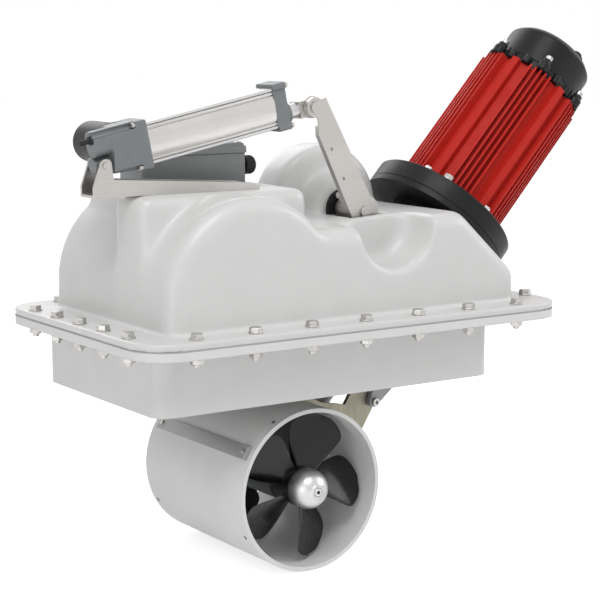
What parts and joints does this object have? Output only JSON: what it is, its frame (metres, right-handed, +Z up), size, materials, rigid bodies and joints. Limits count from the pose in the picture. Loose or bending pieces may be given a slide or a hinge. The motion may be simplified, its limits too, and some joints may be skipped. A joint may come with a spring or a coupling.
{
  "type": "retractable bow thruster",
  "caption": "Retractable tunnel thruster: white moulded housing with hull frame, swing-out leg with twin propellers, electric motor, lever and linear actuator.",
  "frame": {"origin": "middle of the seam between the housing flange and the hull frame", "axes": "+X along the flange's long side towards the motor, +Y along the tunnel away from the actuator side, +Z up, square to the hull seat"},
  "size_m": [0.7683, 0.3644, 0.6359],
  "materials": {
    "moulded_white": "white gelcoat over moulded glass fibre",
    "frame_grey": "pale grey gelcoat",
    "tunnel_grey": "pale grey composite",
    "gasket_grey": "thin rubber sheet",
    "stainless": "brushed stainless steel",
    "polished_steel": "polished stainless steel",
    "bronze": "plain bearing bronze",
    "anodised": "anodised aluminium extrusion",
    "cap_grey": "grey painted die casting",
    "box_grey": "dark grey moulded plastic",
    "black_plastic": "matt black plastic",
    "black_rubber": "black rubber",
    "black_paint": "satin black paint on aluminium",
    "motor_red": "red gloss paint on aluminium",
    "steel": "machined steel",
    "copper_core": "wound copper and laminated steel",
    "propeller_black": "glossy black composite"
  },
  "bodies": {
    "housing_unit": {"housing": "moulded_white", "hull_frame": "frame_grey", "flange_gasket": "gasket_grey", "flange_fasteners": "stainless", "lever_shaft_bushes": "bronze", "lever_shaft_seal": "black_rubber", "housing_screws": "stainless", "hinge_brackets": "stainless", "actuator_bracket": "stainless", "rear_pivot_pin": "stainless", "control_box": "box_grey", "control_box_lid": "box_grey", "cable_gland": "black_plastic", "drive_bearing_tube": "cap_grey", "drive_bearings": "steel", "motor_neck": "black_paint", "motor_mount_ring": "black_paint", "motor_adapter_ring": "black_paint", "motor_body": "motor_red", "motor_stator": "copper_core", "motor_end_ring": "black_paint", "motor_end_cap": "black_paint", "motor_screws": "stainless", "power_studs": "bronze"},
    "motor_drive": {"motor_shaft": "steel", "motor_rotor": "copper_core", "drive_dog": "steel"},
    "lever": {"lever_plate": "stainless", "lever_caps": "stainless", "lever_shaft": "stainless", "crank_arm": "stainless"},
    "link": {"link_bar": "stainless"},
    "actuator": {"actuator_tube": "anodised", "actuator_rear_cap": "cap_grey", "actuator_front_cap": "cap_grey", "actuator_screws": "stainless", "actuator_motor": "black_plastic", "rod_seal": "cap_grey"},
    "rod_end": {"rod": "polished_steel", "rod_eye": "stainless"},
    "leg": {"swing_arms": "stainless", "arm_bushes": "bronze", "door_brackets": "cap_grey", "leg_screws": "stainless", "tunnel": "tunnel_grey", "tunnel_saddle": "stainless", "gear_leg": "cap_grey", "leg_bearings": "bronze", "tunnel_strap": "stainless"},
    "leg_drive": {"leg_shaft": "steel", "bevel_pinion": "steel", "driven_dog": "steel"},
    "front_prop": {"front_propeller": "propeller_black", "front_propeller_shaft": "steel", "front_bevel_gear": "steel", "front_nose": "polished_steel"},
    "rear_prop": {"rear_propeller": "propeller_black", "rear_propeller_shaft": "steel", "rear_bevel_gear": "steel", "rear_nose": "polished_steel"}
  },
  "joints": [
    {"name": "leg_swing", "type": "hinge", "parent": "housing_unit", "child": "leg", "pos_m": [0.11523, 0, -0.00177], "axis": [0, 1, 0], "range_deg": [0, 61.18]},
    {"name": "lever_turn", "type": "hinge", "parent": "housing_unit", "child": "lever", "pos_m": [0.0719, 0, 0.1208], "axis": [0, 1, 0], "range_deg": [0, 61.18]},
    {"name": "link_swing", "type": "hinge", "parent": "lever", "child": "link", "pos_m": [0.03855, 0, 0.08091], "axis": [0, 1, 0], "range_deg": [-61.18, 0]},
    {"name": "actuator_tilt", "type": "hinge", "parent": "housing_unit", "child": "actuator", "pos_m": [-0.277, -0.044, 0.191], "axis": [0, 1, 0], "range_deg": [0, 4.3]},
    {"name": "rod_slide", "type": "slide", "parent": "actuator", "child": "rod_end", "axis": [0.9796, 0, 0.2009], "range_m": [0, 0.14636]},
    {"name": "front_propeller_spin", "type": "hinge", "parent": "leg", "child": "front_prop", "pos_m": [-0.04006, 0, -0.19737], "axis": [0, 1, 0], "continuous": true},
    {"name": "rear_propeller_spin", "type": "hinge", "parent": "leg", "child": "rear_prop", "pos_m": [-0.04006, 0, -0.19737], "axis": [0, 1, 0], "continuous": true},
    {"name": "leg_shaft_spin", "type": "hinge", "parent": "leg", "child": "leg_drive", "pos_m": [-0.04006, 0, -0.19737], "axis": [0.6766, 0, 0.7363], "continuous": true},
    {"name": "motor_spin", "type": "hinge", "parent": "housing_unit", "child": "motor_drive", "pos_m": [0.16293, 0, 0.02353], "axis": [0.6766, 0, 0.7363], "continuous": true}
  ],
  "couplings": [
    {"joint": "lever_turn", "follows": "leg_swing", "ratio": 1},
    {"joint": "link_swing", "follows": "leg_swing", "ratio": -1},
    {"joint": "actuator_tilt", "follows": "leg_swing", "ratio": 0.070277},
    {"joint": "rod_slide", "follows": "leg_swing", "m_per_rad": 0.13707},
    {"joint": "rear_propeller_spin", "follows": "front_propeller_spin", "ratio": -1},
    {"joint": "leg_shaft_spin", "follows": "front_propeller_spin", "ratio": 2},
    {"joint": "motor_spin", "follows": "front_propeller_spin", "ratio": 2}
  ]
}
